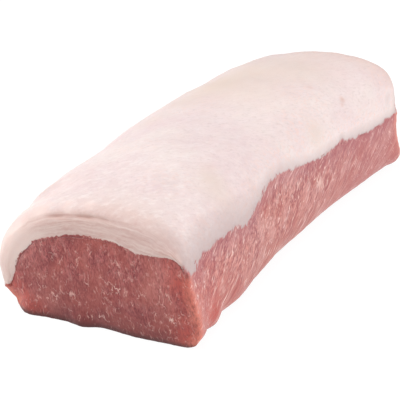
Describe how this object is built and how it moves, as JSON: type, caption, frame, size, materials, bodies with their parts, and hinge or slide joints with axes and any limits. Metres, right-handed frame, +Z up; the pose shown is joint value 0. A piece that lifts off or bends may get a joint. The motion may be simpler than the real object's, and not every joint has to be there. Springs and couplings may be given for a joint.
{
  "type": "boneless pork loin",
  "caption": "Raw boneless pork loin: a long trimmed muscle, flat underneath, cut across at its ends, with a domed cap of white back fat that thins out down the sides.",
  "frame": {"origin": "on the surface that the loin lies on, under the middle of its box", "axes": "+X along the loin from the near cut face to the far one, +Y to the belly side that the fat wraps, +Z up"},
  "size_m": [0.2858, 0.1336, 0.076],
  "materials": {
    "lean_meat": "moist raw muscle with pale fibre streaks",
    "back_fat": "firm pinkish white fat, satin and slightly waxy"
  },
  "bodies": {
    "root": {"lean": "lean_meat", "fat_cap": "back_fat"}
  },
  "joints": []
}
